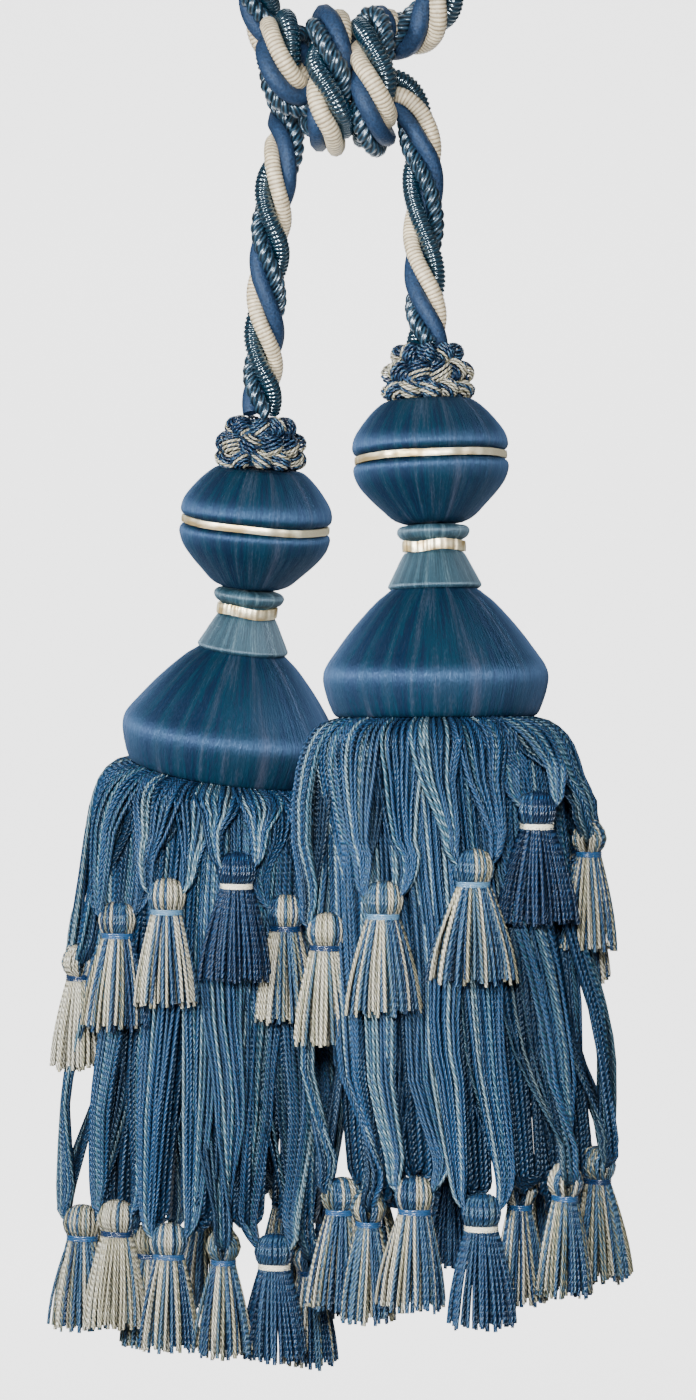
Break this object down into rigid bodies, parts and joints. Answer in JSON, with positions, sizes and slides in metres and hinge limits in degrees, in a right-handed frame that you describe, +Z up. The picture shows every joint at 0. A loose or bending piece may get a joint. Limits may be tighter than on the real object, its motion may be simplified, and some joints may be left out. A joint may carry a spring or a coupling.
{
  "type": "curtain tieback tassel",
  "caption": "Double tassel curtain tieback: a twisted, knotted rope with a large wound-head tassel on each end, each skirt hung with small tassels.",
  "frame": {"origin": "inner top of the rope's hanging loop, where a hook would hold it", "axes": "+Z up, along which it hangs; -Y is the front, with the right tassel nearer; +X to the right seen from the front"},
  "size_m": [0.1622, 0.1507, 0.4471],
  "materials": {
    "rope_cord": "four twisted strands: ivory ribbed gimp, smooth mid-blue, shiny dark-blue gimp and bead-like blue-grey cord",
    "ruche_yarn": "looped blue and ivory twisted yarn",
    "wound_satin": "deep navy to teal satin thread wound over a mould, with a bright band of sheen",
    "neck_satin": "slate-blue satin thread",
    "ribbon_satin": "ivory-gold satin ribbon",
    "skirt_yarn": "mid-blue twisted yarn with teal and pale-blue strands",
    "tassel_yarn": "cut twisted yarn, mixed ivory, gold and blue"
  },
  "bodies": {
    "root": {"rope": "rope_cord", "right_ruche": "ruche_yarn", "right_head": "wound_satin", "right_head_band": "ribbon_satin", "right_neck": "neck_satin", "right_neck_band": "ribbon_satin", "right_bell": "wound_satin", "right_skirt": "skirt_yarn", "right_small_tassel_01": "tassel_yarn", "right_small_tassel_02": "tassel_yarn", "right_small_tassel_03": "tassel_yarn", "right_small_tassel_04": "tassel_yarn", "right_small_tassel_05": "tassel_yarn", "right_small_tassel_06": "tassel_yarn", "right_small_tassel_07": "tassel_yarn", "right_small_tassel_08": "tassel_yarn", "right_small_tassel_09": "tassel_yarn", "right_small_tassel_10": "tassel_yarn", "right_small_tassel_11": "tassel_yarn", "right_small_tassel_12": "tassel_yarn", "right_small_tassel_13": "tassel_yarn", "right_small_tassel_14": "tassel_yarn", "right_small_tassel_15": "tassel_yarn", "right_small_tassel_16": "tassel_yarn", "right_small_tassel_17": "tassel_yarn", "right_small_tassel_18": "tassel_yarn", "right_small_tassel_19": "tassel_yarn", "right_small_tassel_20": "tassel_yarn", "left_ruche": "ruche_yarn", "left_head": "wound_satin", "left_head_band": "ribbon_satin", "left_neck": "neck_satin", "left_neck_band": "ribbon_satin", "left_bell": "wound_satin", "left_skirt": "skirt_yarn", "left_small_tassel_01": "tassel_yarn", "left_small_tassel_02": "tassel_yarn", "left_small_tassel_03": "tassel_yarn", "left_small_tassel_04": "tassel_yarn", "left_small_tassel_05": "tassel_yarn", "left_small_tassel_06": "tassel_yarn", "left_small_tassel_07": "tassel_yarn", "left_small_tassel_08": "tassel_yarn", "left_small_tassel_09": "tassel_yarn", "left_small_tassel_10": "tassel_yarn", "left_small_tassel_11": "tassel_yarn", "left_small_tassel_12": "tassel_yarn", "left_small_tassel_13": "tassel_yarn", "left_small_tassel_14": "tassel_yarn", "left_small_tassel_15": "tassel_yarn", "left_small_tassel_16": "tassel_yarn", "left_small_tassel_17": "tassel_yarn", "left_small_tassel_18": "tassel_yarn", "left_small_tassel_19": "tassel_yarn", "left_small_tassel_20": "tassel_yarn"}
  },
  "joints": []
}
